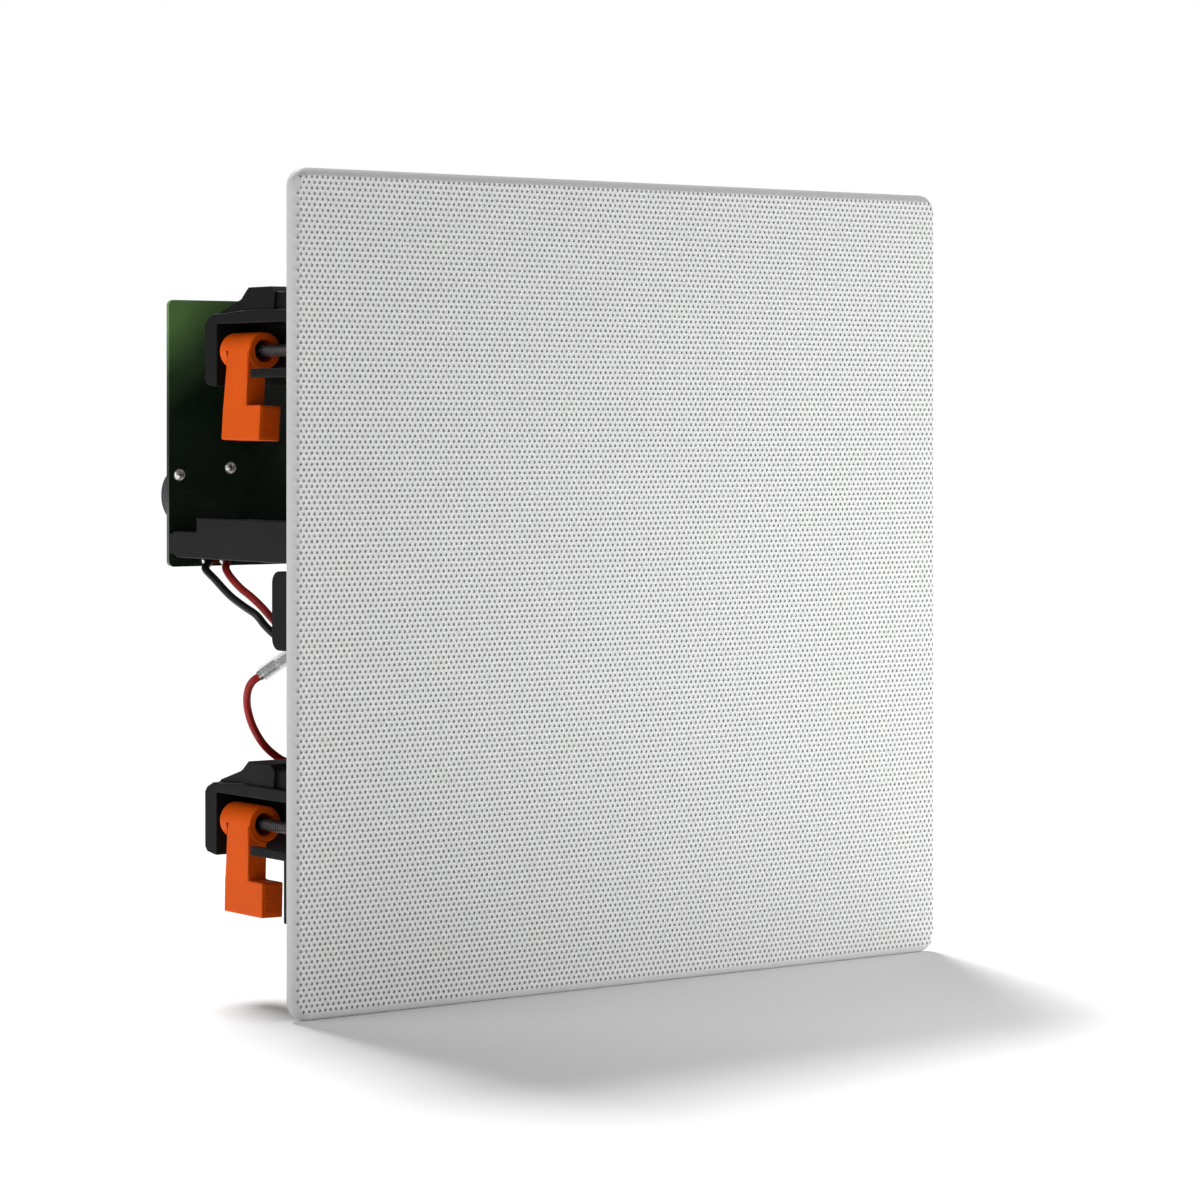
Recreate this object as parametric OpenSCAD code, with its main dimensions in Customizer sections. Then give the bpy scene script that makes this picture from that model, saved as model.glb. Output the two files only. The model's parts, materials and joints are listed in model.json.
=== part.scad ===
// Square ceiling speaker: perforated magnetic grille, moulded frame with four swing-out clamps,
// coaxial woofer and tweeter, crossover board on an arm behind. Millimetres.
// X is to the right, Y goes into the ceiling, Z is up. Y = 0 is the back of the flange,
// and the origin is the centre of the panel cut-out. The grille faces -Y.

/* [Grille] */
// Outer side of the grille
grille_side = 268; // [240:1:290]
// Front plane of the grille
grille_front = -5.5; // [-8:0.5:-5]
// Thickness of the grille sheet
sheet = 0.8; // [0.6:0.1:1.2]
// Radius of the grille's corners seen from the front
grille_corner = 6; // [4:0.5:8]

/* [Frame] */
// Half of the flange's side
flange_half = 131.3; // [120:0.1:131.4]
// Outer half width of the collar that enters the cut-out
collar_half = 124.2; // [118:0.1:126]
// Radius of the woofer opening
opening_r = 98; // [90:1:102]

/* [Clamps] */
// Sideways distance of the clamp screws from the centre
clamp_x = 115; // [112:0.5:116]
// Upward distance of the clamp screws from the centre
clamp_z = 77.2; // [70:0.1:84]
// Outer radius of a clamp's barrel
barrel_r = 6; // [5.5:0.5:7]
// Length of a clamp's arm below the screw
arm_reach = 29.5; // [25:0.5:34]
// Outward lean of the stored clamps at upper left and lower right, in degrees
clamp_lean_a = 3.5; // [0:0.1:3.5]
// Outward lean of the stored clamps at lower left and upper right, in degrees
clamp_lean_b = 1.2; // [0:0.1:1.5]

/* [Woofer] */
// Outer radius of the basket
basket_r = 106; // [100:1:108]
// Radius of the magnet
magnet_r = 52; // [45:1:60]

/* [Crossover] */
// Height of the crossover board
board_height = 90; // [70:1:95]
// Width of the crossover board
board_width = 64; // [50:1:80]
// Front plane of the crossover board
board_front = 96.9; // [90:0.1:105]

/* [Output] */
// Which node to show

/* [Hidden] */
$fn = 96;

gh = grille_side / 2;
edge_r = 2.5;              // rounding of the grille's front edge
rim_back = -0.7;           // the rim stops short of the ceiling
cloth_t = 0.2;
flange_front = grille_front + sheet + cloth_t;
recess_half = 121;
collar_in = collar_half - 2.3;
baffle0 = 5;
baffle1 = 8;
collar_top = 10;
cap0 = 63.3;               // front of a tower's end cap
cap1 = 71;
barrel0 = 42.5;
barrel1 = 61.5;
board_back = board_front + 1.6;
board_x0 = -119.5;
board_x1 = board_x0 + board_width;
board_z0 = 5;
board_z1 = board_z0 + board_height;

// Lead routes: round numbers, laid by hand from the board to the woofer's terminals.
black_route = [[-105, 96.7, 7], [-105.2, 94.8, 6.8], [-107.6, 91.6, 5.8], [-111.4, 86.6, 4.4], [-112.2, 79, 1.2],
  [-112, 70, -3.7], [-112, 61, -7], [-112, 53, -9.6], [-110.5, 49.6, -13.2], [-107, 47.9, -16.6],
  [-103.5, 46.9, -16.6], [-100, 46.4, -14.9], [-97, 44.6, -12.2], [-94.8, 41.2, -9.2], [-93.6, 38.6, -7.5],
  [-93.6, 36.6, -7.5]];
red_route = [[-98, 96.7, 7], [-98.2, 94.6, 6.8], [-101.6, 89, 6], [-106, 82.4, 4.6], [-107.6, 76.5, 1.9],
  [-107.6, 70, -1.6], [-107.5, 64, -4], [-107.2, 58, -7], [-106.6, 52.5, -10.6], [-103, 50.2, -15.4],
  [-96.5, 51, -22], [-91.5, 52.5, -31], [-89.5, 53, -41], [-91, 53.5, -51], [-95.5, 53.8, -57.6],
  [-100, 54, -58.4], [-104.2, 55.6, -55.6], [-108.4, 55.6, -51.6], [-111.6, 56, -46.2], [-113.9, 55.2, -41],
  [-115.4, 53.4, -36.8], [-115.8, 51.6, -33.4], [-114.99, 50.16, -30.95], [-112.9, 48.87, -29.22],
  [-111.51, 48.01, -28.07]];
tweeter_route_a = [[1.5, 78, 0], [1.5, 86, 1], [-4, 90, 6], [-14, 92, 15], [-28, 92, 28],
  [-42, 92, 40], [-53, 91.6, 47.6], [-60.6, 93, 50], [-61, 96.7, 50]];
tweeter_route_b = [[-1.5, 78, -1], [-1.5, 86, -2], [-8, 90, 2], [-18, 91.4, 11], [-32, 91.4, 24],
  [-46, 91.4, 37], [-57, 91.6, 43.4], [-64.6, 93, 45], [-65, 96.7, 45]];

// ---------- helpers ----------
module rsq(h, r) {
  square([2 * h, 2 * (h - r)], center = true);
  square([2 * (h - r), 2 * h], center = true);
  for (x = [-1, 1], z = [-1, 1]) translate([x * (h - r), z * (h - r)]) circle(r = r);
}
module rrect(x0, z0, x1, z1, r) {
  translate([x0 + r, z0]) square([x1 - x0 - 2 * r, z1 - z0]);
  translate([x0, z0 + r]) square([x1 - x0, z1 - z0 - 2 * r]);
  for (x = [x0 + r, x1 - r], z = [z0 + r, z1 - r]) translate([x, z]) circle(r = r, $fn = 48);
}
// a flat shape in X and Z, carried from Y = a to Y = b
module ex(a, b) { translate([0, b, 0]) rotate([90, 0, 0]) linear_extrude(height = b - a) children(); }
// a flat shape in Y and Z, carried from X = a to X = b
module exx(a, b) { translate([a, 0, 0]) rotate([90, 0, 90]) linear_extrude(height = b - a) children(); }
module cy(r, a, b, x = 0, z = 0) { translate([x, a, z]) rotate([-90, 0, 0]) cylinder(r = r, h = b - a); }
// a profile of [radius, Y] turned about the Y axis
module turned() { rotate([-90, 0, 0]) rotate_extrude($fn = 96) children(); }
module box(a, b) { translate(a) cube(b - a); }
module along(p, q) {
  d = q - p;
  translate(p) rotate([0, acos(d[2] / norm(d)), atan2(d[1], d[0])]) children();
}
function unit(v) = v / norm(v);
function tangent(p, i) = i == 0 ? unit(p[1] - p[0]) :
  i == len(p) - 1 ? unit(p[i] - p[i - 1]) : unit(unit(p[i + 1] - p[i]) + unit(p[i] - p[i - 1]));
function side_of(p, i) = let (t = tangent(p, i),
    s = i == 0 ? (abs(t[0]) < 0.8 ? [1, 0, 0] : [0, 0, 1]) : side_of(p, i - 1))
  unit(s - (s * t) * t);
module lead(p, r, n = 8) {
  m = len(p);
  pts = [for (i = [0:m - 1]) let (t = tangent(p, i), s = side_of(p, i), c = cross(t, s))
    for (k = [0:n - 1]) p[i] + r * (cos(360 * k / n) * s + sin(360 * k / n) * c)];
  walls = [for (i = [0:m - 2], k = [0:n - 1]) let (a = i * n + k, b = i * n + (k + 1) % n)
    each [[a, b + n, b], [a, a + n, b + n]]];
  polyhedron(points = pts, faces = concat([[for (k = [0:n - 1]) k]], walls,
    [[for (k = [n - 1:-1:0]) (m - 1) * n + k]]), convexity = 10);
}
// puts a shape made for the screw axis at the origin at one of the four clamps;
// the right-hand pair is the left-hand pair turned half round
module at_clamp(side, up) {
  if (side < 0) translate([-clamp_x, 0, up * clamp_z]) children();
  else rotate([0, 180, 0]) translate([-clamp_x, 0, -up * clamp_z]) children();
}

// ---------- grille ----------
module rim_profile(rc) {
  // radius out from the corner's centre against Y
  difference() {
    union() {
      translate([0, grille_front]) square([rc - edge_r, sheet]);
      intersection() {
        translate([rc - edge_r, grille_front + edge_r]) difference() {
          circle(r = edge_r, $fn = 64);
          circle(r = edge_r - sheet, $fn = 64);
        }
        translate([rc - edge_r, grille_front]) square([edge_r, edge_r]);
      }
      translate([rc - sheet, grille_front + edge_r]) square([sheet, rim_back - grille_front - edge_r]);
    }
  }
}
module grille() {
  c = gh - grille_corner;
  color("gainsboro") {
    ex(grille_front, grille_front + sheet) union() {
      square([2 * (gh - edge_r), 2 * c], center = true);
      square([2 * c, 2 * (gh - edge_r)], center = true);
    }
    for (a = [0:90:270]) rotate([0, a, 0]) {
      // straight run of the rim along +X side
      translate([c, 0, -c]) linear_extrude(height = 2 * c) rim_profile(grille_corner);
      // corner
      translate([c, 0, -c]) rotate([-90, 0, 0]) rotate_extrude(angle = 90, $fn = 64) rim_profile(grille_corner);
    }
  }
}
module cloth_profile(rc) {
  intersection() {
    translate([rc - edge_r, grille_front + edge_r]) difference() {
      circle(r = edge_r - sheet, $fn = 64);
      circle(r = edge_r - sheet - cloth_t, $fn = 64);
    }
    translate([rc - edge_r, grille_front + sheet]) square([1.45, edge_r - sheet]);
  }
}
module grille_cloth() {
  c = gh - grille_corner;
  color("silver") {
    ex(grille_front + sheet, flange_front) union() {
      square([2 * (gh - edge_r), 2 * c], center = true);
      square([2 * c, 2 * (gh - edge_r)], center = true);
      for (x = [-1, 1], z = [-1, 1]) translate([x * c, z * c]) circle(r = grille_corner - edge_r);
    }
    for (a = [0:90:270]) rotate([0, a, 0]) {
      translate([c, 0, -c]) linear_extrude(height = 2 * c) cloth_profile(grille_corner);
      translate([c, 0, -c]) rotate([-90, 0, 0]) rotate_extrude(angle = 90, $fn = 64) cloth_profile(grille_corner);
    }
  }
}
module magnet_spots() {
  for (a = [0:90:270]) rotate([0, a, 0]) {
    cy(3, flange_front, flange_front + 2, 126.4, 0);
    cy(3, flange_front, flange_front + 2, 126.4, 110);
    cy(3, flange_front, flange_front + 2, 126.4, -110);
  }
}
module frame_magnets() { color("dimgray") magnet_spots(); }

// ---------- frame: one moulding, in three simple bodies that meet on flat faces ----------
module tower() {
  difference() {
    union() {
      // lower band of the roof over the barrel, and end cap
      exx(-6, 12) polygon([[baffle1, 9], [baffle1, 13], [50, 13], [58, 12.4], [66, 12.2], [69.6, 10.6], [71, 9],
        [71, -9.3], [69.6, -10.9], [65, -11.6], [cap0, -11.6], [cap0, 9]]);
      // upper part, set in, with its sloping shoulder
      exx(-3.6, 12) polygon([[baffle1, 12], [baffle1, 18.8], [48.5, 18.8], [52.5, 16.8], [64.8, 13.2], [68, 10],
        [60, 10]]);
      // raised band across the roof
      exx(-4.8, 12) polygon([[30, 12], [29, 18.6], [31.5, 20.6], [45.5, 20.6], [49.5, 17.4], [49.5, 12]]);
      // inner wall
      exx(8.2, 12) polygon([[baffle1, -11.6], [66, -11.6], [66, 10], [baffle1, 10]]);
      // foot of the tower on the baffle
      box([-4, baffle1, 9], [14, 11, 23]);
    }
    cy(2.06, cap0 - 1, 68.6);
  }
  // rail that keeps a swung clamp from turning back
  box([-collar_half + clamp_x, collar_top, -9], [-collar_in + clamp_x, 37, -6]);
}
// low rib in front of the stored foot
module foot_rib() { box([-collar_half + clamp_x, collar_top, -29], [-collar_in + clamp_x, 16.7, -8.6]); }
module clamp_towers() {
  color("darkslategray") {
    for (s = [-1, 1], u = [-1, 1]) at_clamp(s, u) tower();
    for (s = [-1, 1]) at_clamp(s, s) foot_rib();
  }
}
module frame_ribs() {
  color("darkslategray") {
    // ring round the woofer and ribs to the corners
    difference() {
      union() {
        cy(111, baffle1, 11.4);
        for (a = [45:90:315]) rotate([0, a, 0]) for (z = [-9, 9])
          box([109.5, baffle1, z - 1.2], [130, 11.4, z + 1.2]);
        for (a = [0:90:270]) rotate([0, a, 0]) for (z = [-32, 32])
          box([110, baffle1, z - 1.2], [collar_in - 0.3, 11.4, z + 1.2]);
      }
      cy(108.4, baffle1 - 1, 16);
    }
    // rounded tab on the left and its twin on the right
    for (a = [0, 180]) rotate([0, a, 0]) intersection() {
      exx(-121.6, -119.2) rrect(2, -19.5, 28, 6, 4);
      box([-123, baffle1, -20], [-118, 30, 7]);
    }
  }
}
module frame() {
  color("darkslategray") {
    difference() {
      union() {
        difference() {
          ex(flange_front, 0) rsq(flange_half, 3.3);
          ex(flange_front - 1, 1) rsq(recess_half, 5);
        }
        difference() {
          ex(-1, baffle1) rsq(collar_half, 6);
          ex(-2, baffle0) rsq(recess_half, 5);
        }
        difference() {
          ex(baffle1 - 1, collar_top) rsq(collar_half, 6);
          ex(baffle1 - 2, 13) rsq(collar_in, 4);
        }
      }
      cy(opening_r, baffle0 - 1, baffle1 + 1);
      for (s = [-1, 1], u = [-1, 1]) at_clamp(s, u) cy(2.3, baffle0 - 1, baffle1 + 4);
      magnet_spots();
      // holes for the woofer's screws
      for (a = [22.5:45:360]) rotate([0, a, 0]) cy(1.5, baffle0 + 0.6, baffle1 + 1, 102.4, 0);
      // seat of the crossover arm
      box([-119.5, baffle1 - 2, 8.4], [-116.5, baffle1 + 1, 22]);
    }
  }
}

// ---------- clamps ----------
module clamp_shape(lean) {
  color("orangered") rotate([0, lean, 0]) difference() {
    union() {
      cy(barrel_r, barrel0, barrel1);
      // arm
      exx(-6, 1) polygon([[barrel0 + 0.4, 0], [56.2, 0], [57.6, -20], [barrel0 + 0.4, -20]]);
      // foot
      box([-6, 34.1, -arm_reach], [2, 57.6, -18.1]);
    }
    cy(3.7, barrel0 - 1, barrel1 + 1);
  }
}
module nut_shape() {
  color("goldenrod") difference() {
    union() {
      cy(3.65, 50, barrel1 + 0.2);
      cy(5, barrel1 + 0.05, cap0 - 0.3);
    }
    cy(2.05, 49, cap0);
  }
}
module screw_shape() {
  color("black") difference() {
    union() {
      cy(2, 4.5, 68);
      cy(3.9, 3.2, baffle0);
      cy(3.3, 2.6, 3.3);
    }
    box([-2.3, 2, -0.5], [2.3, 4.2, 0.5]);
    box([-0.5, 2, -2.3], [0.5, 4.2, 2.3]);
  }
}
module clamp_upper_left() { at_clamp(-1, 1) clamp_shape(clamp_lean_a); }
module clamp_lower_left() { at_clamp(-1, -1) clamp_shape(clamp_lean_b); }
module clamp_upper_right() { at_clamp(1, 1) clamp_shape(clamp_lean_b); }
module clamp_lower_right() { at_clamp(1, -1) clamp_shape(clamp_lean_a); }
module nut_upper_left() { at_clamp(-1, 1) nut_shape(); }
module nut_lower_left() { at_clamp(-1, -1) nut_shape(); }
module nut_upper_right() { at_clamp(1, 1) nut_shape(); }
module nut_lower_right() { at_clamp(1, -1) nut_shape(); }
module screw_upper_left() { at_clamp(-1, 1) screw_shape(); }
module screw_lower_left() { at_clamp(-1, -1) screw_shape(); }
module screw_upper_right() { at_clamp(1, 1) screw_shape(); }
module screw_lower_right() { at_clamp(1, -1) screw_shape(); }

// ---------- woofer ----------
module woofer_basket() {
  color("dimgray") difference() {
    union() {
      turned() polygon([[92.6, baffle1], [basket_r, baffle1], [basket_r, 10.2], [99.2, 10.2],
        [63.6, 44], [63.6, 46.4], [48, 53], [48, 55], [44, 55], [44, 50.5], [53, 46.5], [53, 44],
        [58, 44], [60.6, 42.6], [94, 11.2], [92.6, 10.2]]);
      difference() { cy(48, 52.6, 55); cy(24, 52, 56); }
      // lug for the terminal board
      rotate([0, -9, 0]) box([-80, 31, -7], [-66, 35, 7]);
    }
    // twelve windows
    for (a = [0:30:330]) rotate([0, a + 15, 0])
      ex(14.5, 41) polygon([[60, -7.6], [92, -11.6], [92, 11.6], [60, 7.6]]);
    for (a = [22.5:45:360]) rotate([0, a, 0]) cy(1.7, baffle1 - 1, 11, 102.4, 0);
  }
}
module surround() {
  color("black") turned() union() {
    translate([91.6, 7.2]) square([5.8, 0.8]);
    translate([75, 7.2]) square([5.4, 0.8]);
    intersection() {
      translate([86, 8]) difference() { circle(r = 6.9, $fn = 64); circle(r = 6.1, $fn = 64); }
      translate([79, 0]) square([14, 8]);
    }
  }
}
module cone() {
  color("darkslategray") turned() polygon([[79.8, 8], [79.8, 8.8], [76.6, 9], [20.4, 36.4], [20.4, 38],
    [19.6, 38], [19.6, 35.8], [75.6, 8]]);
}
module voice_coil() {
  color("darkgoldenrod") turned() polygon([[19, 36], [19.6, 36], [19.6, 54], [20.2, 54], [20.2, 62],
    [19, 62]]);
}
module spider() {
  color("burlywood") turned() union() {
    polygon([[19.6, 43.2], [24, 43.2], [26.5, 41.4], [29.5, 41.4], [32, 43.8], [35, 43.8], [37.5, 41.4],
      [40.5, 41.4], [43, 43.8], [46, 43.8], [48.5, 43.4], [58, 43.4], [58, 44], [48.5, 44], [46, 44.4],
      [43, 44.4], [40.5, 42], [37.5, 42], [35, 44.4], [32, 44.4], [29.5, 42], [26.5, 42], [24, 43.8],
      [19.6, 43.8]]);
  }
}
module top_plate() {
  color("lightslategray") difference() { cy(46, 55, 61); cy(20.8, 54, 62); }
}
module magnet() {
  color("dimgray") difference() { cy(magnet_r, 61, 78); cy(25, 60, 79); }
}
module yoke() {
  color("lightslategray") difference() {
    union() { cy(46, 78, 84); cy(18.2, 54, 80); }
    cy(4.2, 53, 85);
  }
}
module woofer_screws() {
  color("black") for (a = [22.5:45:360]) rotate([0, a, 0]) translate([102.4, 0, 0]) difference() {
    union() { cy(1.5, baffle0 + 0.8, 10.4); cy(3, 10.2, 12); }
    box([-1.8, 11, -0.4], [1.8, 13, 0.4]);
    box([-0.4, 11, -1.8], [0.4, 13, 1.8]);
  }
}

// ---------- tweeter ----------
module tweeter_post() {
  color("dimgray") difference() { cy(9, 20, 54); cy(4.2, 19, 55); }
}
module tweeter_housing() {
  color("darkslategray") difference() {
    turned() polygon([[0, 20], [17, 20], [21, 16], [22, 9], [22, 6.6], [20.6, 6], [14.2, 8.6], [14.2, 11],
      [0, 11]]);
    cy(3, 10, 21, 7, 0);
  }
}
module tweeter_dome() {
  color("silver") difference() {
    intersection() {
      translate([0, 18, 0]) sphere(r = 15.2, $fn = 96);
      cy(14.2, 0, 11);
    }
    translate([0, 18, 0]) sphere(r = 14.6, $fn = 96);
    cy(3, 10.6, 12, 7, 0);
  }
}

// ---------- terminals ----------
module woofer_terminals() {
  color("peru") rotate([0, -9, 0]) box([-99, 35, -9], [-74.5, 36.5, 9]);
  color("silver") {
    along(conn_a, conn_b) translate([-0.4, -2.4, 11]) cube([0.8, 4.8, 19.6]);
  }
}

// ---------- crossover ----------
module crossover_bracket() {
  color("black") {
    difference() {
      union() {
        // arm running back from the frame
        exx(-119.5, -116.5) union() {
          translate([6.2, 8.4]) square([72.8, 13.6]);
          translate([78, 8.4]) square([13.4, 8.9]);
          translate([91.3, 11.5]) circle(r = 3.1, $fn = 48);
          translate([91, 11.4]) square([3.4, 5.9]);
        }
        // strip along the front of the board, wrapped round its inner edge to a bar behind it
        box([-119.5, board_front - 3, 9.5], [board_x1 + 3.2, board_front, 16.5]);
        box([board_x1 + 0.1, board_front - 3, 9.5], [board_x1 + 3.2, board_back + 1.4, 43]);
        box([-118.5, board_back, 33.8], [board_x1 + 3.2, board_back + 1.4, 43]);
      }
      for (p = board_screw_spots) cy(1.2, board_back - 1, board_back + 4, p[0], p[1]);
    }
  }
}
module crossover_board() {
  color("seagreen") ex(board_front, board_back) difference() {
    rrect(board_x0, board_z0, board_x1, board_z1, 2);
    for (p = board_screw_spots) translate(p) circle(r = 1.4, $fn = 48);
  }
}
module board_screws() {
  color("silver") for (p = board_screw_spots) {
    cy(1.2, board_front - 0.4, board_back + 1.3, p[0], p[1]);
    translate([p[0], board_front, p[1]]) difference() {
      intersection() {
        translate([0, 0.6, 0]) sphere(r = 2.3, $fn = 64);
        cy(3, -3, 0);
      }
      box([-1.3, -3, -0.25], [1.3, -1, 0.25]);
      box([-0.25, -3, -1.3], [0.25, -1, 1.3]);
    }
  }
}
module electrolytic() {
  y = board_back + 8.1;
  color("midnightblue") translate([0, y, 28.8]) rotate([0, 90, 0]) {
    translate([0, 0, -112.3]) cylinder(r = 8, h = 18.7);
    translate([0, 0, -112.3 + 18]) cylinder(r = 7.3, h = 2);
    translate([0, 0, -112.3 + 19.4]) cylinder(r = 8, h = 2.2);
  }
}
module film_capacitor() {
  color("firebrick") ex(board_back, board_back + 12) rrect(-108, 45.5, -86, 55.5, 1.2);
}
module inductor_bobbin() {
  color("black") difference() {
    union() {
      cy(12.2, board_back, board_back + 1.4, -80, 78);
      cy(12.2, board_back + 11.6, board_back + 13, -80, 78);
      cy(5.2, board_back, board_back + 13, -80, 78);
    }
    cy(3.2, board_back + 1, board_back + 14, -80, 78);
  }
}
module inductor_winding() {
  color("darkgoldenrod") difference() {
    cy(11.2, board_back + 1.4, board_back + 11.6, -80, 78);
    cy(5.2, board_back + 1, board_back + 12, -80, 78);
  }
}
module resistor() {
  color("whitesmoke") box([-107, board_back, 59], [-85, board_back + 9, 65]);
}
module terminal_block() {
  color("forestgreen") difference() {
    union() {
      box([-109.5, board_back + 0.0, 5.4], [-93.5, board_back + 2.6, 8.6]);
      box([-109.5, board_back + 2.6, 5.4], [-93.5, board_back + 13, 16.2]);
    }
    for (x = [-105.6, -97.4]) {
      // wire entries open downwards, screw wells open backwards
      translate([x, board_back + 8.4, 5]) cylinder(r = 1.75, h = 8);
      cy(2.1, board_back + 8.4, board_back + 14, x, 12.2);
    }
  }
}
module terminal_screws() {
  color("silver") for (x = [-105.6, -97.4]) translate([x, 0, 12.2]) difference() {
    cy(2.02, board_back + 10.2, board_back + 12.4);
    box([-1.7, board_back + 11.4, -0.35], [1.7, board_back + 13, 0.35]);
  }
}

// ---------- leads ----------
module lead_black() { color("black") lead(black_route, 1.3); }
module lead_red() { color("firebrick") lead(red_route, 1.3); }
module lead_tweeter() {
  color("firebrick") lead(tweeter_route_a, 0.8);
  color("black") lead(tweeter_route_b, 0.8);
}
board_screw_spots = [[-115.4, 36], [-95.4, 38.2]];
conn_a = [-113.6, 49.3, -29.8];
conn_b = [-105.5, 44.3, -23.1];
module spade_connector() {
  color("silver") along(conn_a, conn_b) difference() {
    union() {
      translate([0, 0, 0.4]) cylinder(r = 1.8, h = 7, $fn = 48);
      translate([-1.1, -3.1, 6.8]) cube([2.2, 6.2, 7]);
    }
    translate([0, 0, -0.4]) cylinder(r = 1.45, h = 5, $fn = 48);
    translate([-0.5, -2.6, 8.5]) cube([1, 5.2, 9]);
  }
}
module connector_sleeve() {
  color("aliceblue") along(conn_a, conn_b) difference() {
    translate([0, 0, 1.6]) linear_extrude(height = 13) rrect(-2.4, -3.9, 2.4, 3.9, 1.7);
    translate([0, 0, 1]) linear_extrude(height = 15) rrect(-1.9, -3.4, 1.9, 3.4, 1.2);
  }
}

grille();
grille_cloth();
frame_magnets();
frame();
frame_ribs();
clamp_towers();
clamp_upper_left();
clamp_lower_left();
clamp_upper_right();
clamp_lower_right();
nut_upper_left();
nut_lower_left();
nut_upper_right();
nut_lower_right();
screw_upper_left();
screw_lower_left();
screw_upper_right();
screw_lower_right();
woofer_basket();
surround();
cone();
voice_coil();
spider();
top_plate();
magnet();
yoke();
woofer_screws();
tweeter_post();
tweeter_housing();
tweeter_dome();
woofer_terminals();
crossover_bracket();
crossover_board();
board_screws();
electrolytic();
film_capacitor();
inductor_bobbin();
inductor_winding();
resistor();
terminal_block();
terminal_screws();
lead_black();
lead_red();
lead_tweeter();
spade_connector();
connector_sleeve();
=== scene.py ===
import json
import math

import bmesh
import bpy
import numpy as np
from mathutils import Matrix, Vector
from mathutils.geometry import delaunay_2d_cdt


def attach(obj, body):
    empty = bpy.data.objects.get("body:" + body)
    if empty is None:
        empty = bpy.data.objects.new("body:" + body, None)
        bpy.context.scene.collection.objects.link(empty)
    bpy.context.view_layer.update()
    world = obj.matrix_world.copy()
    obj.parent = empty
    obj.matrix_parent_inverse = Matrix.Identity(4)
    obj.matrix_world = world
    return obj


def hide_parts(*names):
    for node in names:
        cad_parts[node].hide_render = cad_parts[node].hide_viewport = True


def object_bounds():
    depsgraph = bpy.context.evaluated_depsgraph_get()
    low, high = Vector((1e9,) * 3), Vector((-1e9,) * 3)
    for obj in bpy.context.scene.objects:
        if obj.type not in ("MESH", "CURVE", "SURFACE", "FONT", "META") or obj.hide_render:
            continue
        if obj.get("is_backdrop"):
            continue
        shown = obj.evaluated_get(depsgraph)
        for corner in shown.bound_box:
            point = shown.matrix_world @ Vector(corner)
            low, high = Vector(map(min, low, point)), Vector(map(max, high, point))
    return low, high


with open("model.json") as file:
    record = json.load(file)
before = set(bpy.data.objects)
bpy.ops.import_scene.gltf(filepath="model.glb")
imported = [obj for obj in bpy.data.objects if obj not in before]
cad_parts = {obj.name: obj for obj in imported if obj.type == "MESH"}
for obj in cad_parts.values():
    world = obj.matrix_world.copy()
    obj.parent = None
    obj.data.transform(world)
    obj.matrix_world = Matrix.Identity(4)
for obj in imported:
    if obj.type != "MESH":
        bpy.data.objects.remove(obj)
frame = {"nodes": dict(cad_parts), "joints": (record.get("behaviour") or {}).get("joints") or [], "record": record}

N, J = frame["nodes"], frame["joints"]
CAD_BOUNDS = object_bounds()


def plain(b):
    if isinstance(b, dict):
        return {k: plain(v) for k, v in b.items()}
    if hasattr(b, "__len__") and not isinstance(b, str):
        return [plain(x) for x in b]
    return float(b) if not isinstance(b, str) else b


# ---------------------------------------------------------------- materials
def material(name, color, rough=0.5, metal=0.0, spec=0.5, coat=0.0, coat_rough=0.1, trans=0.0, alpha=1.0, ior=None):
    m = bpy.data.materials.new(name)
    m.use_nodes = True
    nt = m.node_tree
    b = nt.nodes["Principled BSDF"]
    b.inputs["Base Color"].default_value = (*color, 1)
    b.inputs["Roughness"].default_value = rough
    b.inputs["Metallic"].default_value = metal
    b.inputs["Specular IOR Level"].default_value = spec
    b.inputs["Coat Weight"].default_value = coat
    b.inputs["Coat Roughness"].default_value = coat_rough
    b.inputs["Transmission Weight"].default_value = trans
    b.inputs["Alpha"].default_value = alpha
    if ior:
        b.inputs["IOR"].default_value = ior
    return m, nt, b


def coords(nt, kind="Object"):
    return nt.nodes.new("ShaderNodeTexCoord").outputs[kind]


def noise(nt, vec, scale, detail=3.0, rough=0.5, stretch=None):
    if stretch:
        mp = nt.nodes.new("ShaderNodeMapping")
        mp.inputs["Scale"].default_value = stretch
        nt.links.new(vec, mp.inputs["Vector"])
        vec = mp.outputs["Vector"]
    n = nt.nodes.new("ShaderNodeTexNoise")
    n.inputs["Scale"].default_value = scale
    n.inputs["Detail"].default_value = detail
    n.inputs["Roughness"].default_value = rough
    nt.links.new(vec, n.inputs["Vector"])
    return n.outputs["Fac"]


def ramp(nt, fac, stops):
    r = nt.nodes.new("ShaderNodeValToRGB")
    e = r.color_ramp.elements
    while len(e) < len(stops):
        e.new(0.5)
    for el, (p, c) in zip(e, stops):
        el.position = p
        el.color = (*c, 1) if len(c) == 3 else c
    nt.links.new(fac, r.inputs["Fac"])
    return r.outputs["Color"]


def to_range(nt, fac, lo, hi, a=0.0, b=1.0):
    r = nt.nodes.new("ShaderNodeMapRange")
    r.inputs["From Min"].default_value = a
    r.inputs["From Max"].default_value = b
    r.inputs["To Min"].default_value = lo
    r.inputs["To Max"].default_value = hi
    nt.links.new(fac, r.inputs["Value"])
    return r.outputs["Result"]


def bump(nt, bsdf, height, strength, distance, before=None):
    b = nt.nodes.new("ShaderNodeBump")
    b.inputs["Strength"].default_value = strength
    b.inputs["Distance"].default_value = distance
    nt.links.new(height, b.inputs["Height"])
    if before is not None:
        nt.links.new(before, b.inputs["Normal"])
    nt.links.new(b.outputs["Normal"], bsdf.inputs["Normal"])
    return b.outputs["Normal"]


def shade(c, k):
    return tuple(min(1.0, x * k) for x in c)


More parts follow.
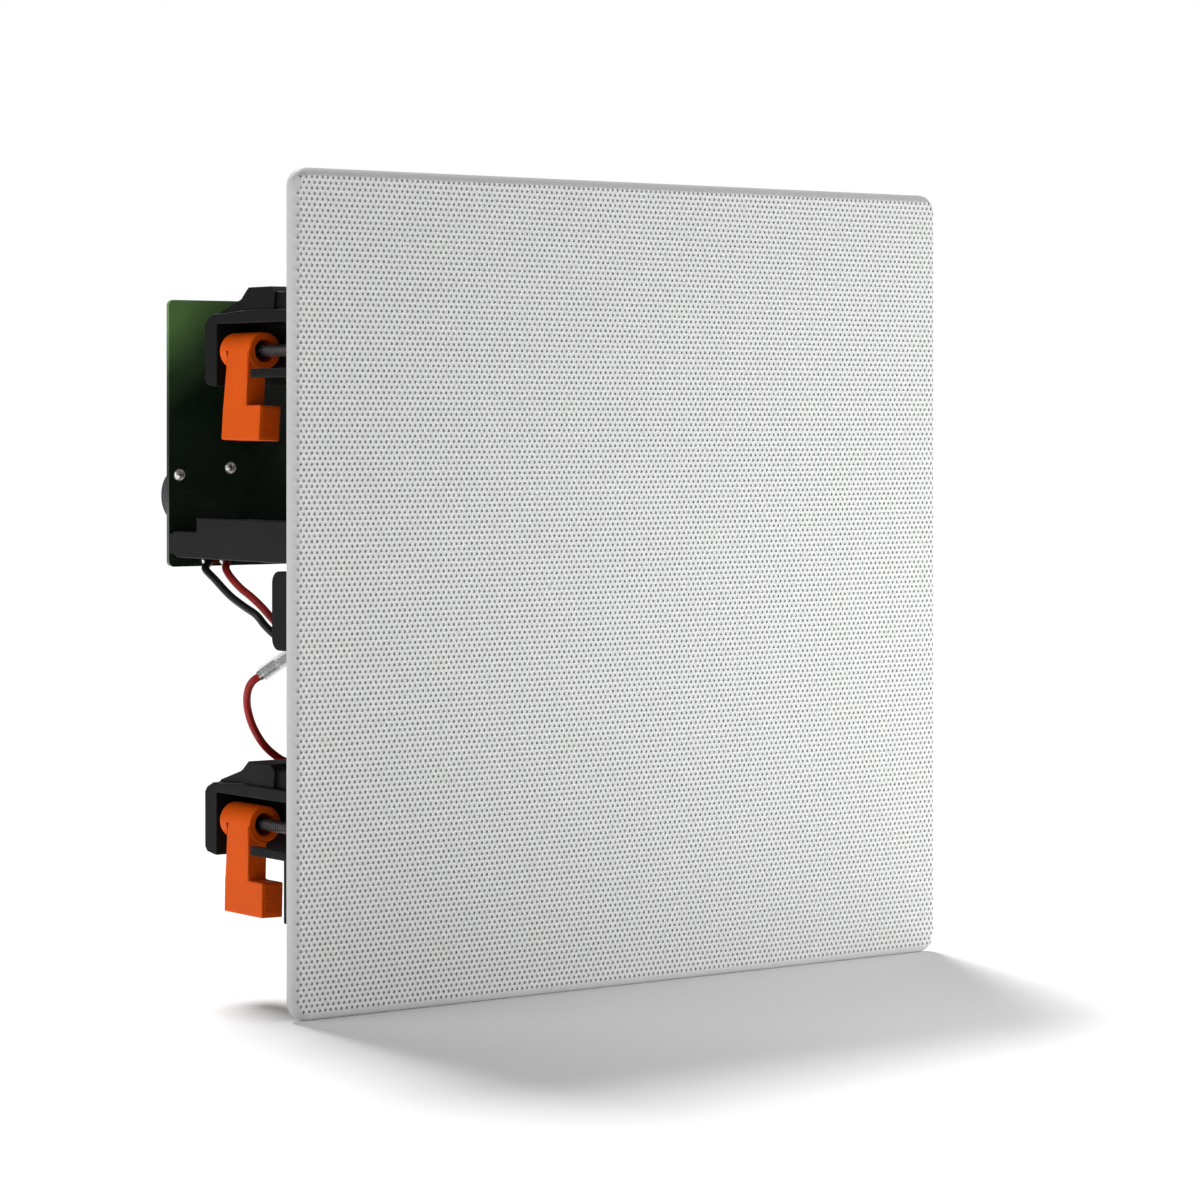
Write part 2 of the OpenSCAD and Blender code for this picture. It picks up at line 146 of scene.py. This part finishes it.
def mottled(name, color, rough, spread=0.12, tone=0.15, scale=60.0, fine=1500.0, grain=0.25, depth=0.00005, **kw):
    """A moulded, painted or cast surface: slow changes of tone and gloss, and a fine grain."""
    m, nt, b = material(name, color, rough, **kw)
    v = coords(nt)
    slow = noise(nt, v, scale, 4)
    nt.links.new(ramp(nt, slow, [(0.3, shade(color, 1 - tone)), (0.7, shade(color, 1 + tone))]), b.inputs["Base Color"])
    nt.links.new(to_range(nt, slow, rough - spread, rough + spread, 0.3, 0.7), b.inputs["Roughness"])
    bump(nt, b, noise(nt, v, fine, 2), grain, depth)
    return m


M = {}
M["grille"] = mottled("grille_powder_coat", (0.61, 0.617, 0.61), 0.62, 0.04, 0.01, 30, 2600, 0.25, 0.00004, spec=0.35)
M["frame"] = mottled("frame_black_plastic", (0.0056, 0.0058, 0.0062), 0.48, 0.08, 0.25, 45, 1900, 0.35, 0.00006, spec=0.09)
M["bracket"] = mottled("bracket_black_plastic", (0.0056, 0.0058, 0.0062), 0.42, 0.08, 0.25, 45, 1900, 0.3, 0.00005, spec=0.12)
M["clamp"] = mottled("clamp_orange_plastic", (0.8, 0.104, 0.004), 0.46, 0.07, 0.06, 90, 1700, 0.3, 0.00005, spec=0.07)
M["basket"] = mottled("basket_black_enamel", (0.01, 0.01, 0.011), 0.34, 0.08, 0.2, 50, 900, 0.3, 0.00008, spec=0.4)
M["rubber"] = mottled("surround_rubber", (0.014, 0.014, 0.014), 0.6, 0.08, 0.2, 60, 1300, 0.3, 0.00005, spec=0.4)
M["cone"] = mottled("cone_pulp", (0.03, 0.032, 0.036), 0.55, 0.08, 0.25, 120, 700, 0.5, 0.0001, spec=0.4)
M["silk"] = mottled("tweeter_silk", (0.035, 0.035, 0.038), 0.5, 0.08, 0.2, 150, 2400, 0.5, 0.00006, spec=0.5)
M["ferrite"] = mottled("magnet_ferrite", (0.028, 0.028, 0.031), 0.62, 0.1, 0.3, 80, 700, 0.5, 0.00012, spec=0.4)
M["fibre"] = mottled("terminal_fibre_board", (0.2, 0.09, 0.035), 0.6, 0.1, 0.25, 200, 1100, 0.4, 0.00006, spec=0.4)
M["film"] = mottled("film_capacitor_epoxy", (0.42, 0.05, 0.03), 0.3, 0.06, 0.1, 90, 600, 0.2, 0.00006, spec=0.5, coat=0.3)
M["cement"] = mottled("resistor_cement", (0.66, 0.63, 0.57), 0.85, 0.06, 0.08, 180, 1400, 0.6, 0.00012, spec=0.3)
M["terminal"] = mottled("terminal_green_plastic", (0.03, 0.24, 0.09), 0.4, 0.07, 0.1, 90, 1500, 0.25, 0.00005, spec=0.5)
M["lead_black"] = mottled("lead_black_sheath", (0.008, 0.008, 0.009), 0.34, 0.08, 0.2, 150, 900, 0.25, 0.00005, spec=0.35)
M["lead_red"] = mottled("lead_red_sheath", (0.4, 0.016, 0.012), 0.34, 0.07, 0.12, 150, 900, 0.25, 0.00005, spec=0.35)


def metal(name, color, rough, stretch=(1, 1, 1), scale=400.0, spread=0.1):
    m, nt, b = material(name, color, rough, metal=1.0)
    v = coords(nt)
    f = noise(nt, v, scale, 4, 0.6, stretch)
    slow = noise(nt, v, 70, 3)
    nt.links.new(ramp(nt, slow, [(0.3, shade(color, 0.86)), (0.7, shade(color, 1.1))]), b.inputs["Base Color"])
    nt.links.new(to_range(nt, f, max(0.05, rough - spread), rough + spread, 0.3, 0.7), b.inputs["Roughness"])
    bump(nt, b, f, 0.15, 0.00004)
    return m


M["steel"] = metal("bright_steel", (0.72, 0.71, 0.68), 0.24)
M["zinc"] = metal("zinc_plated_steel", (0.56, 0.56, 0.52), 0.38, (1, 6, 1), 300)
M["brass"] = metal("turned_brass", (0.72, 0.5, 0.2), 0.3, (1, 12, 1), 500)
M["magnets"] = metal("nickel_plate", (0.6, 0.59, 0.56), 0.28)


def threaded(name, color, rough):
    """Black oxide screw with a fine helical thread, as bump along its length."""
    m, nt, b = material(name, color, rough, metal=0.0, spec=0.7)
    v = coords(nt)
    w = nt.nodes.new("ShaderNodeTexWave")
    w.wave_type = "BANDS"
    w.bands_direction = "Y"
    w.inputs["Scale"].default_value = 225.0
    w.inputs["Distortion"].default_value = 0.0
    nt.links.new(v, w.inputs["Vector"])
    slow = noise(nt, v, 200, 3)
    nt.links.new(ramp(nt, slow, [(0.3, shade(color, 0.8)), (0.7, shade(color, 1.3))]), b.inputs["Base Color"])
    nt.links.new(to_range(nt, slow, rough - 0.08, rough + 0.08, 0.3, 0.7), b.inputs["Roughness"])
    bump(nt, b, w.outputs["Fac"], 0.8, 0.0003)
    return m


M["screw"] = threaded("clamp_screw_black_oxide", (0.02, 0.02, 0.022), 0.3)
M["small_screw"] = mottled("small_screw_black_oxide", (0.02, 0.02, 0.022), 0.3, 0.08, 0.2, 300, 900, 0.2, 0.00005, spec=0.7)


def wound(name, color, scale, axis="Y", rough=0.3, metal=0.9):
    m, nt, b = material(name, color, rough, metal=metal)
    v = coords(nt)
    w = nt.nodes.new("ShaderNodeTexWave")
    w.wave_type = "BANDS"
    w.bands_direction = axis
    w.inputs["Scale"].default_value = scale
    w.inputs["Distortion"].default_value = 0.6
    w.inputs["Detail"].default_value = 1.0
    nt.links.new(v, w.inputs["Vector"])
    nt.links.new(ramp(nt, w.outputs["Fac"], [(0.1, shade(color, 0.5)), (0.7, color)]), b.inputs["Base Color"])
    nt.links.new(to_range(nt, noise(nt, v, 300, 3), rough - 0.08, rough + 0.1, 0.3, 0.7), b.inputs["Roughness"])
    bump(nt, b, w.outputs["Fac"], 0.7, 0.0002)
    return m


M["copper"] = wound("copper_winding", (0.62, 0.24, 0.09), 330)


def woven(name, color, pitch, depth, rough=0.9, tone=0.25, trans=0.0):
    """Plain weave from two crossed sets of bands."""
    m, nt, b = material(name, color, rough, spec=0.2)
    v = coords(nt)
    sets = []
    for axis in "XZ":
        w = nt.nodes.new("ShaderNodeTexWave")
        w.wave_type = "BANDS"
        w.bands_direction = axis
        w.inputs["Scale"].default_value = 1 / pitch * 0.314
        w.inputs["Distortion"].default_value = 0.2
        nt.links.new(v, w.inputs["Vector"])
        sets.append(w.outputs["Fac"])
    mx = nt.nodes.new("ShaderNodeMath")
    mx.operation = "MAXIMUM"
    nt.links.new(sets[0], mx.inputs[0])
    nt.links.new(sets[1], mx.inputs[1])
    nt.links.new(ramp(nt, mx.outputs[0], [(0.2, shade(color, 1 - tone)), (0.8, shade(color, 1 + tone * 0.3))]), b.inputs["Base Color"])
    nt.links.new(to_range(nt, noise(nt, v, 90, 3), rough - 0.06, rough + 0.05, 0.3, 0.7), b.inputs["Roughness"])
    bump(nt, b, mx.outputs[0], 0.6, depth)
    return m


M["cloth"] = woven("grille_scrim", (0.88, 0.885, 0.88), 0.0005, 0.0001, tone=0.12)
M["spider"] = woven("spider_cloth", (0.55, 0.4, 0.2), 0.0008, 0.0002)


def board_material():
    """Glossy solder mask over glass cloth with a faint weave; its slow changes of tone are painted light: a painted
    glow in the top corner and painted shade below a sloping edge.
    """
    m, nt, b = material("crossover_board_mask", (0.03, 0.11, 0.035), 0.16, spec=0.5, coat=0.8, coat_rough=0.05)
    v = coords(nt)
    # painted light: the top corner is lightened as a painted glow of light through the board, the rest is darkened as
    # painted shade below a sloping, wavering edge
    xyz = nt.nodes.new("ShaderNodeSeparateXYZ")
    nt.links.new(v, xyz.inputs[0])
    slope = nt.nodes.new("ShaderNodeMath")
    slope.operation = "MULTIPLY_ADD"
    slope.inputs[1].default_value = -0.75
    nt.links.new(xyz.outputs["X"], slope.inputs[0])
    nt.links.new(xyz.outputs["Z"], slope.inputs[2])
    wave = nt.nodes.new("ShaderNodeMath")
    wave.operation = "MULTIPLY_ADD"
    wave.inputs[1].default_value = 0.012
    nt.links.new(noise(nt, v, 45, 3), wave.inputs[0])
    nt.links.new(slope.outputs[0], wave.inputs[2])
    painted_light_mask = to_range(nt, wave.outputs[0], 0.0, 1.0, 0.151, 0.182)
    # painted light: near-black painted shade at the low end of the mask, the painted glow of the lit top corner at the
    # high end
    nt.links.new(ramp(nt, painted_light_mask, [(0.0, (0.009, 0.018, 0.0095)), (0.45, (0.03, 0.07, 0.022)), (1.0, (0.16, 0.32, 0.1))]),
                 b.inputs["Base Color"])
    weave = noise(nt, v, 900, 2)
    nt.links.new(to_range(nt, weave, 0.1, 0.2, 0.3, 0.7), b.inputs["Roughness"])
    bump(nt, b, weave, 0.06, 0.00003)
    return m


M["board"] = board_material()
M["glass_edge"] = mottled("board_bare_edge", (0.42, 0.4, 0.24), 0.6, 0.06, 0.15, 300, 1500, 0.4, 0.00005)
M["sleeve"] = mottled("capacitor_shrink_sleeve", (0.008, 0.01, 0.018), 0.14, 0.04, 0.2, 60, 500, 0.1, 0.00004, spec=0.6, coat=0.5)
M["solder"] = metal("solder", (0.74, 0.74, 0.73), 0.18, (1, 1, 1), 500, 0.08)


def clear():
    m, nt, b = material("connector_clear_sleeve", (0.92, 0.95, 0.97), 0.12, spec=0.5, alpha=0.2)
    v = coords(nt)
    nt.links.new(to_range(nt, noise(nt, v, 400, 3), 0.08, 0.2, 0.3, 0.7), b.inputs["Roughness"])
    bump(nt, b, noise(nt, v, 250, 2), 0.05, 0.00005)
    return m


M["clear"] = clear()

PAINT = {
    "grille": "grille", "grille_cloth": "cloth", "frame_magnets": "magnets", "frame": "frame",
    "frame_ribs": "frame", "clamp_towers": "frame",
    "woofer_basket": "basket", "surround": "rubber", "cone": "cone", "voice_coil": "copper", "spider": "spider",
    "top_plate": "zinc", "magnet": "ferrite", "yoke": "zinc", "woofer_screws": "small_screw",
    "tweeter_post": "basket", "tweeter_housing": "frame", "tweeter_dome": "silk", "woofer_terminals": "fibre",
    "crossover_bracket": "bracket", "crossover_board": "board", "board_screws": "steel", "electrolytic": "sleeve",
    "film_capacitor": "film", "inductor_bobbin": "bracket", "inductor_winding": "copper", "resistor": "cement",
    "terminal_block": "terminal", "terminal_screws": "steel", "lead_black": "lead_black", "lead_red": "lead_red",
    "lead_tweeter": "lead_red", "spade_connector": "steel", "connector_sleeve": "clear",
}
for c in ("upper_left", "lower_left", "upper_right", "lower_right"):
    PAINT["clamp_" + c] = "clamp"
    PAINT["nut_" + c] = "brass"
    PAINT["screw_" + c] = "screw"
for n, o in N.items():
    o.data.materials.clear()
    o.data.materials.append(M[PAINT[n]])


# ---------------------------------------------------------------- pieces
def mesh_object(name, verts, faces, mat, body, smooth=False):
    me = bpy.data.meshes.new(name)
    me.from_pydata([tuple(v) for v in verts], [], [tuple(f) for f in faces])
    me.update()
    me.materials.append(mat)
    if smooth:
        me.polygons.foreach_set("use_smooth", [True] * len(me.polygons))
    o = bpy.data.objects.new(name, me)
    bpy.context.scene.collection.objects.link(o)
    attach(o, body)
    return o


BODY_OF = {n: b for b, members in frame["record"]["behaviour"]["bodies"].items() for n in members}


def moulded(node, width, segments=2, angle=30):
    """The CAD shape with its sharp edges rounded off, as a moulding leaves the tool."""
    bm = bmesh.new()
    bm.from_mesh(N[node].data)
    bmesh.ops.remove_doubles(bm, verts=bm.verts, dist=1e-6)
    bmesh.ops.dissolve_limit(bm, angle_limit=math.radians(0.5), verts=bm.verts, edges=bm.edges)
    me = bpy.data.meshes.new(node + "_moulded")
    bm.to_mesh(me)
    bm.free()
    me.materials.clear()
    me.materials.append(M[PAINT[node]])
    me.polygons.foreach_set("use_smooth", [True] * len(me.polygons))
    o = bpy.data.objects.new(node + "_moulded", me)
    bpy.context.scene.collection.objects.link(o)
    mod = o.modifiers.new("edges", "BEVEL")
    mod.width = width
    mod.segments = segments
    mod.limit_method = "ANGLE"
    mod.angle_limit = math.radians(angle)
    mod.use_clamp_overlap = False
    o.modifiers.new("flat_faces", "WEIGHTED_NORMAL")
    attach(o, BODY_OF[node])
    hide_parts(node)
    return o


SIDES = ("upper_left", "lower_left", "upper_right", "lower_right")
for c in SIDES:
    moulded("clamp_" + c, 0.0005, 3)
moulded("clamp_towers", 0.0004)
moulded("frame_ribs", 0.0003)
moulded("crossover_bracket", 0.0004)
moulded("terminal_block", 0.0003)
moulded("film_capacitor", 0.0009, 3)
moulded("resistor", 0.0004)


def catmull(pts, sub):
    """A smooth curve through the route's points."""
    p = np.array(pts, float)
    q = np.vstack([2 * p[0] - p[1], p, 2 * p[-1] - p[-2]])
    out = []
    for i in range(1, len(q) - 2):
        a, b, c, d = q[i - 1:i + 3]
        for k in range(sub):
            t = k / sub
            out.append(0.5 * (2 * b + (c - a) * t + (2 * a - 5 * b + 4 * c - d) * t * t + (3 * b - a - 3 * c + d) * t ** 3))
    out.append(p[-1])
    return np.array(out)


def tube(name, routes, r, mat, node, sub=5, n=18):
    """Round sheathed leads along their routes, given in millimetres."""
    verts, faces = [], []
    for pts in routes:
        line = catmull(pts, sub)
        tang = np.gradient(line, axis=0)
        tang /= np.linalg.norm(tang, axis=1)[:, None]
        side = np.cross(tang[0], (0, 0, 1) if abs(tang[0][2]) < 0.8 else (1, 0, 0))
        start = len(verts)
        for p, t in zip(line, tang):
            side = side - np.dot(side, t) * t
            side /= np.linalg.norm(side)
            up = np.cross(t, side)
            for k in range(n):
                a = 2 * math.pi * k / n
                verts.append((p + r * (math.cos(a) * side + math.sin(a) * up)) * 0.001)
        m = len(line)
        for i in range(m - 1):
            for k in range(n):
                a, b = start + i * n + k, start + i * n + (k + 1) % n
                faces.append((a, b, b + n, a + n))
        faces.append([start + k for k in range(n)][::-1])
        faces.append([start + (m - 1) * n + k for k in range(n)])
    o = mesh_object(name, verts, faces, mat, BODY_OF[node], smooth=True)
    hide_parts(node)
    return o


BLACK_ROUTE = [(-105, 96.7, 7), (-105.2, 94.8, 6.8), (-107.6, 91.6, 5.8), (-111.4, 86.6, 4.4), (-112.2, 79, 1.2),
               (-112, 70, -3.7), (-112, 61, -7), (-112, 53, -9.6), (-110.5, 49.6, -13.2), (-107, 47.9, -16.6),
               (-103.5, 46.9, -16.6), (-100, 46.4, -14.9), (-97, 44.6, -12.2), (-94.8, 41.2, -9.2), (-93.6, 38.6, -7.5),
               (-93.6, 36.6, -7.5)]
RED_ROUTE = [(-98, 96.7, 7), (-98.2, 94.6, 6.8), (-101.6, 89, 6), (-106, 82.4, 4.6), (-107.6, 76.5, 1.9),
             (-107.6, 70, -1.6), (-107.5, 64, -4), (-107.2, 58, -7), (-106.6, 52.5, -10.6), (-103, 50.2, -15.4),
             (-96.5, 51, -22), (-91.5, 52.5, -31), (-89.5, 53, -41), (-91, 53.5, -51), (-95.5, 53.8, -57.6),
             (-100, 54, -58.4), (-104.2, 55.6, -55.6), (-108.4, 55.6, -51.6), (-111.6, 56, -46.2), (-113.9, 55.2, -41),
             (-115.4, 53.4, -36.8), (-115.8, 51.6, -33.4), (-114.99, 50.16, -30.95), (-112.9, 48.87, -29.22),
             (-111.51, 48.01, -28.07)]
TWEETER_A = [(1.5, 78, 0), (1.5, 86, 1), (-4, 90, 6), (-14, 92, 15), (-28, 92, 28), (-42, 92, 40), (-53, 91.6, 47.6),
             (-60.6, 93, 50), (-61, 96.7, 50)]
TWEETER_B = [(-1.5, 78, -1), (-1.5, 86, -2), (-8, 90, 2), (-18, 91.4, 11), (-32, 91.4, 24), (-46, 91.4, 37),
             (-57, 91.6, 43.4), (-64.6, 93, 45), (-65, 96.7, 45)]
tube("lead_black_sheathed", [BLACK_ROUTE], 1.3, M["lead_black"], "lead_black")
tube("lead_red_sheathed", [RED_ROUTE], 1.3, M["lead_red"], "lead_red")
tube("lead_tweeter_sheathed", [TWEETER_A, TWEETER_B], 0.8, M["lead_red"], "lead_tweeter", 4, 14)


def domes(name, spots, r, height, mat, body, n=24, rings=6):
    """Solder joints: small domes standing on the front of the board."""
    verts, faces = [], []
    for x, y, z in spots:
        start = len(verts)
        for i in range(rings):
            a = math.pi / 2 * i / rings
            rr = r * math.cos(a) ** 1.4
            for k in range(n):
                t = 2 * math.pi * k / n
                verts.append(((x + rr * math.cos(t)) * 0.001, (y - height * math.sin(a)) * 0.001, (z + rr * math.sin(t)) * 0.001))
        verts.append((x * 0.001, (y - height) * 0.001, z * 0.001))
        tip = len(verts) - 1
        for i in range(rings - 1):
            for k in range(n):
                a, b = start + i * n + k, start + i * n + (k + 1) % n
                faces.append((a, b, b + n, a + n))
        for k in range(n):
            faces.append((start + (rings - 1) * n + k, start + (rings - 1) * n + (k + 1) % n, tip))
    o = mesh_object(name, verts, faces, mat, body, smooth=True)
    return o


domes("lead_solder_joints", [(-105, 96.9, 7), (-98, 96.9, 7), (-61, 96.9, 50), (-65, 96.9, 45)], 1.9, 1.2, M["solder"],
      "frame_body")


def grip(c, sx, sz, turned, lean):
    """Small pyramids on a clamp foot's gripping face."""
    x0, x1, z0, z1, pitch = -5.2, 1.3, -28.6, -18.9, 0.8
    nx, nz = int(round((x1 - x0) / pitch)), int(round((z1 - z0) / pitch))
    verts, faces = [], []
    ca, sa = math.cos(math.radians(lean)), math.sin(math.radians(lean))

    def put(x, y, z):
        a, b = x * ca + z * sa, -x * sa + z * ca
        s = -1 if turned else 1
        verts.append(((sx + s * a) * 0.001, y * 0.001, (sz + s * b) * 0.001))

    for j in range(nz + 1):
        for i in range(nx + 1):
            put(x0 + (x1 - x0) * i / nx, 34.16, z0 + (z1 - z0) * j / nz)
    for j in range(nz):
        for i in range(nx):
            a = j * (nx + 1) + i
            put(x0 + (x1 - x0) * (i + 0.5) / nx, 33.8, z0 + (z1 - z0) * (j + 0.5) / nz)
            t = len(verts) - 1
            for p, q in ((a, a + 1), (a + 1, a + nx + 2), (a + nx + 2, a + nx + 1), (a + nx + 1, a)):
                faces.append((p, q, t))
    o = mesh_object("clamp_grip_" + c, verts, faces, M["clamp"], "clamp_body_" + c)
    return o


for c, sx, sz, turned, lean in (("upper_left", -115, 77.2, False, 3.5), ("lower_left", -115, -77.2, False, 1.2),
                                ("upper_right", 115, 77.2, True, 1.2), ("lower_right", 115, -77.2, True, 3.5)):
    grip(c, sx, sz, turned, lean)


# ---- the perforated grille: one formed sheet, holes on a staggered lattice
HALF, FLAT, R = 134.0, 131.5, 2.5
INNER_R = 3.5                      # corner radius of the flat part
FRONT, BACK, SHEET = -5.5, -0.7, 0.8
HOLE = 0.58                        # corner radius of a six-sided hole


def formed(p, r=R, front=FRONT):
    """Points of the flat blank, bent over the tray's rounded edge."""
    q = np.clip(p, -(FLAT - INNER_R), FLAT - INNER_R)
    d = p - q
    dist = np.linalg.norm(d, axis=1)
    n = d / np.maximum(dist, 1e-9)[:, None]
    e = np.maximum(dist - INNER_R, 0)
    a = np.minimum(e / r, math.pi / 2)
    out = q + n * (np.minimum(dist, INNER_R) + r * np.sin(a))[:, None]
    return np.column_stack([out[:, 0], front + r * (1 - np.cos(a)), out[:, 1]])


def ring(e, step=1.6, corner=7):
    """Points round the blank at a distance e outside its flat part."""
    c, rr, pts = FLAT - INNER_R, INNER_R + e, []
    n = int(2 * c / step)
    for k in range(4):
        t = math.radians(90 * k)
        rot = np.array([[math.cos(t), -math.sin(t)], [math.sin(t), math.cos(t)]])
        side = [np.array([c + rr, -c + 2 * c * i / n]) for i in range(n + 1)]
        turn = [np.array([c + rr * math.cos(math.radians(90 * i / corner)), c + rr * math.sin(math.radians(90 * i / corner))])
                for i in range(1, corner)]
        pts += [rot @ q for q in side + turn]
    return np.array(pts)


rows, cols = 152, 133
dz = 262.0 / (rows - 1)
ii, jj = np.meshgrid(np.arange(cols), np.arange(rows))
cx = -132.5 + 2.0 * ii + np.where(jj % 2 == 0, 0.0, 1.0)
cz = -131.0 + dz * jj
centres = np.column_stack([cx.ravel(), cz.ravel()])
reach = np.linalg.norm(centres - np.clip(centres, -(FLAT - INNER_R), FLAT - INNER_R), axis=1) - INNER_R
centres = centres[reach < 1.15]    # none where the blank's corners are rounded off
angles = np.radians([30, 90, 150, 210, 270, 330])
hexagon = HOLE * np.column_stack([np.cos(angles), np.sin(angles)])
holes = (centres[:, None, :] + hexagon[None, :, :]).reshape(-1, 2)
ARC = R * math.pi / 2
border = ring(ARC)
mid = ring(ARC * 0.78)
blank = np.vstack([holes, border, mid])
out = delaunay_2d_cdt([Vector(p) for p in blank], [], [], 0, 1e-7)
new_verts, tris, orig = out[0], out[2], out[3]
back_to = np.array([o[0] if o else -1 for o in orig])
T = np.array(tris)
T = back_to[T]
owner = np.where(T < len(holes), T // 6, -1 - np.arange(3)[None, :])
keep = ~((owner[:, 0] == owner[:, 1]) & (owner[:, 1] == owner[:, 2])) & (T >= 0).all(axis=1)
T = T[keep]
verts = formed(blank)
p0, p1, p2 = verts[T[:, 0]], verts[T[:, 1]], verts[T[:, 2]]
nrm = np.cross(p1 - p0, p2 - p0)
flip = nrm[:, 1] > 0               # the sheet faces -Y
edge = np.abs(nrm[:, 1]) < 1e-9
T[flip] = T[flip][:, ::-1]
faces = T.tolist()
# the rim: straight down to the back edge, across the sheet's thickness and up inside
nb, base = len(border), len(holes)
loops = [list(range(base, base + nb))]
outer = formed(border)
inward = formed(ring(ARC), R)
c = FLAT - INNER_R
core = np.clip(outer[:, [0, 2]], -c, c)
direction = outer[:, [0, 2]] - core
direction /= np.linalg.norm(direction, axis=1)[:, None]


def loop_at(d, y):
    global verts
    flat = core + direction * (INNER_R + R - d)
    start = len(verts)
    verts = np.vstack([verts, np.column_stack([flat[:, 0], np.full(nb, y), flat[:, 1]])])
    return list(range(start, start + nb))


for d, y in ((0.0, -1.0), (0.12, -0.76), (0.3, BACK), (SHEET - 0.1, BACK), (SHEET, -0.85), (SHEET, -3.0), (SHEET + 0.6, -4.3)):
    loops.append(loop_at(d, y))
for a, b in zip(loops, loops[1:]):
    for i in range(nb):
        j = (i + 1) % nb
        faces.append([a[i], b[i], b[j], a[j]])
grille = mesh_object("grille_perforated", verts * 0.001, faces, M["grille"], "grille_body", smooth=True)
bm = bmesh.new()
bm.from_mesh(grille.data)
rim_faces = [f for f in bm.faces if len(f.verts) == 4]
bmesh.ops.recalc_face_normals(bm, faces=bm.faces)
probe = min(bm.faces, key=lambda f: (f.calc_center_median() - Vector((0, FRONT * 0.001, 0))).length)
if probe.normal.y > 0:
    bmesh.ops.reverse_faces(bm, faces=bm.faces)
bm.to_mesh(grille.data)
bm.free()
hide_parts("grille")

# the holes' inner sides, through the sheet's thickness, in two pieces
inner = formed(holes, R - SHEET, FRONT + SHEET - 0.04)
half = (len(centres) // 2) * 6
for part, lo, hi in (("lower", 0, half), ("upper", half, len(holes))):
    front_ring, back_ring = verts[lo:hi], inner[lo:hi]
    count = hi - lo
    idx = np.arange(count)
    nxt = np.where(idx % 6 == 5, idx - 5, idx + 1)
    quads = np.column_stack([idx, nxt, nxt + count, idx + count])
    mesh_object("grille_hole_sides_" + part, np.vstack([front_ring, back_ring]) * 0.001, quads.tolist(), M["grille"], "grille_body")


# ---------------------------------------------------------------- stage
def area(name, loc, target, size, power, color=(1, 1, 1), size_y=None):
    li = bpy.data.lights.new(name, "AREA")
    li.energy = power
    li.color = color
    li.shape = "RECTANGLE" if size_y else "SQUARE"
    li.size = size
    if size_y:
        li.size_y = size_y
    o = bpy.data.objects.new(name, li)
    o.location = loc
    o.rotation_euler = (Vector(target) - Vector(loc)).to_track_quat("-Z", "Y").to_euler()
    bpy.context.scene.collection.objects.link(o)
    return o


FLOOR = -0.1342
fm, fnt, fb = material("stage_floor", (0.93, 0.93, 0.93), 0.8, spec=0.1)
me = bpy.data.meshes.new("stage_floor")
s = 6.0
me.from_pydata([(-s, -s, FLOOR), (s, -s, FLOOR), (s, s, FLOOR), (-s, s, FLOOR)], [], [(0, 1, 2, 3)])
me.materials.append(fm)
floor = bpy.data.objects.new("stage_floor", me)
bpy.context.scene.collection.objects.link(floor)
floor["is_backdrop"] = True

world = bpy.data.worlds.new("studio")
bpy.context.scene.world = world
world.use_nodes = True
wt = world.node_tree
bg = wt.nodes["Background"]
bg.inputs["Color"].default_value = (1, 1, 1, 1)
path = wt.nodes.new("ShaderNodeLightPath")
level = wt.nodes.new("ShaderNodeMapRange")
level.inputs["To Min"].default_value = 0.2
level.inputs["To Max"].default_value = 1.0
wt.links.new(path.outputs["Is Camera Ray"], level.inputs["Value"])
wt.links.new(level.outputs["Result"], bg.inputs["Strength"])

sun = bpy.data.lights.new("key_behind", "SUN")
sun.energy = 3.7
sun.angle = 0.36
key = bpy.data.objects.new("key_behind", sun)
key.rotation_euler = Vector((-0.24, -0.88, -1.2)).to_track_quat("-Z", "Y").to_euler()
bpy.context.scene.collection.objects.link(key)
# a low box near the right front corner, which fades across the grille
area("fill_right", (0.46, -0.4, 0.02), (0.06, 0, 0), 0.28, 1.45)
area("side_left", (-1.3, 0.35, 0.4), (-0.12, 0.05, 0), 0.9, 4.6)
# a low box at the front, for the grille's lower half
area("low_front", (0.1, -0.34, -0.08), (0.0, 0, -0.12), 0.24, 0.5, size_y=0.08)

cam = bpy.data.cameras.new("photo_camera")
cam.sensor_fit = "HORIZONTAL"
cam.sensor_width = 36.0
cam.lens = 113.6
cam.shift_x = 0.0
cam.shift_y = -0.1542
cam.clip_end = 30
camera = bpy.data.objects.new("photo_camera", cam)
camera.location = (-0.7643, -1.0129, 0.0562)
camera.rotation_euler = (math.radians(90), 0, math.radians(-36.65))
bpy.context.scene.collection.objects.link(camera)
bpy.context.scene.camera = camera
bpy.context.scene.view_settings.view_transform = "Standard"
bpy.context.scene.view_settings.look = "None"

{"cad": plain(CAD_BOUNDS), "visual": plain(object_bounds())}
